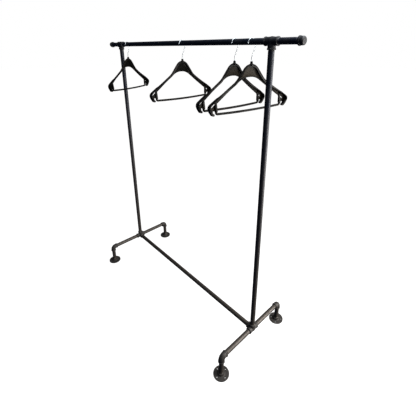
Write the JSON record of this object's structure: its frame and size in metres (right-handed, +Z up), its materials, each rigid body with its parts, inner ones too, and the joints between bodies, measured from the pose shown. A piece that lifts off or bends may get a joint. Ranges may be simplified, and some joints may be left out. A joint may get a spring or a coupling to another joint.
{
  "type": "clothes rack",
  "caption": "Free-standing pipe clothes rack on floor flanges, with a hanging rail, a lower bar and shouldered coat hangers.",
  "frame": {"origin": "on the floor, midway between the uprights and midway between front and back feet", "axes": "+X along the hanging rail to the right, +Y to the back, +Z up"},
  "size_m": [1.5808, 0.6089, 1.7395],
  "materials": {
    "iron_pipe": "satin",
    "iron_fitting": "matte",
    "hook_wire": "polished",
    "hanger_plastic": "satin",
    "bar_plastic": "satin"
  },
  "bodies": {
    "rack": {"hanging_rail": "iron_pipe", "lower_bar": "iron_pipe", "rail_tee_left": "iron_fitting", "rail_stub_left": "iron_pipe", "rail_cap_left": "iron_fitting", "upright_left": "iron_pipe", "base_cross_left": "iron_fitting", "foot_pipe_front_left": "iron_pipe", "foot_elbow_front_left": "iron_fitting", "ankle_nipple_front_left": "iron_pipe", "floor_flange_front_left": "iron_fitting", "foot_pipe_back_left": "iron_pipe", "foot_elbow_back_left": "iron_fitting", "ankle_nipple_back_left": "iron_pipe", "floor_flange_back_left": "iron_fitting", "rail_tee_right": "iron_fitting", "rail_stub_right": "iron_pipe", "rail_cap_right": "iron_fitting", "upright_right": "iron_pipe", "base_cross_right": "iron_fitting", "foot_pipe_front_right": "iron_pipe", "foot_elbow_front_right": "iron_fitting", "ankle_nipple_front_right": "iron_pipe", "floor_flange_front_right": "iron_fitting", "foot_pipe_back_right": "iron_pipe", "foot_elbow_back_right": "iron_fitting", "ankle_nipple_back_right": "iron_pipe", "floor_flange_back_right": "iron_fitting"},
    "hanger_1_on_rail": {"hanger_1_hook": "hook_wire"},
    "hanger_1": {"hanger_1_body": "hanger_plastic", "hanger_1_trouser_bar": "bar_plastic"},
    "hanger_2_on_rail": {"hanger_2_hook": "hook_wire"},
    "hanger_2": {"hanger_2_body": "hanger_plastic", "hanger_2_trouser_bar": "bar_plastic"},
    "hanger_3_on_rail": {"hanger_3_hook": "hook_wire"},
    "hanger_3": {"hanger_3_body": "hanger_plastic", "hanger_3_trouser_bar": "bar_plastic"},
    "hanger_4_on_rail": {"hanger_4_hook": "hook_wire"},
    "hanger_4": {"hanger_4_body": "hanger_plastic", "hanger_4_trouser_bar": "bar_plastic"}
  },
  "joints": [
    {"name": "hanger_1_slide", "type": "slide", "parent": "rack", "child": "hanger_1_on_rail", "axis": [1, 0, 0], "range_m": [-0.035, 0.4]},
    {"name": "hanger_1_swivel", "type": "hinge", "parent": "hanger_1_on_rail", "child": "hanger_1", "pos_m": [-0.557, 0, 1.721], "axis": [0, 0.0175, 0.9998], "range_deg": [-66, 34]},
    {"name": "hanger_2_slide", "type": "slide", "parent": "rack", "child": "hanger_2_on_rail", "axis": [1, 0, 0], "range_m": [-0.25, 0.18]},
    {"name": "hanger_2_swivel", "type": "hinge", "parent": "hanger_2_on_rail", "child": "hanger_2", "pos_m": [0.054, 0, 1.721], "axis": [0, 0.0209, 0.9998], "range_deg": [-60, 60]},
    {"name": "hanger_3_slide", "type": "slide", "parent": "rack", "child": "hanger_3_on_rail", "axis": [1, 0, 0], "range_m": [-0.25, 0.03]},
    {"name": "hanger_3_swivel", "type": "hinge", "parent": "hanger_3_on_rail", "child": "hanger_3", "pos_m": [0.442, 0, 1.721], "axis": [0, 0.0122, 0.9999], "range_deg": [-24, 9]},
    {"name": "hanger_4_slide", "type": "slide", "parent": "rack", "child": "hanger_4_on_rail", "axis": [1, 0, 0], "range_m": [-0.02, 0.06]},
    {"name": "hanger_4_swivel", "type": "hinge", "parent": "hanger_4_on_rail", "child": "hanger_4", "pos_m": [0.5405, 0, 1.721], "axis": [0, -0.0175, 0.9998], "range_deg": [-9, 24]}
  ]
}
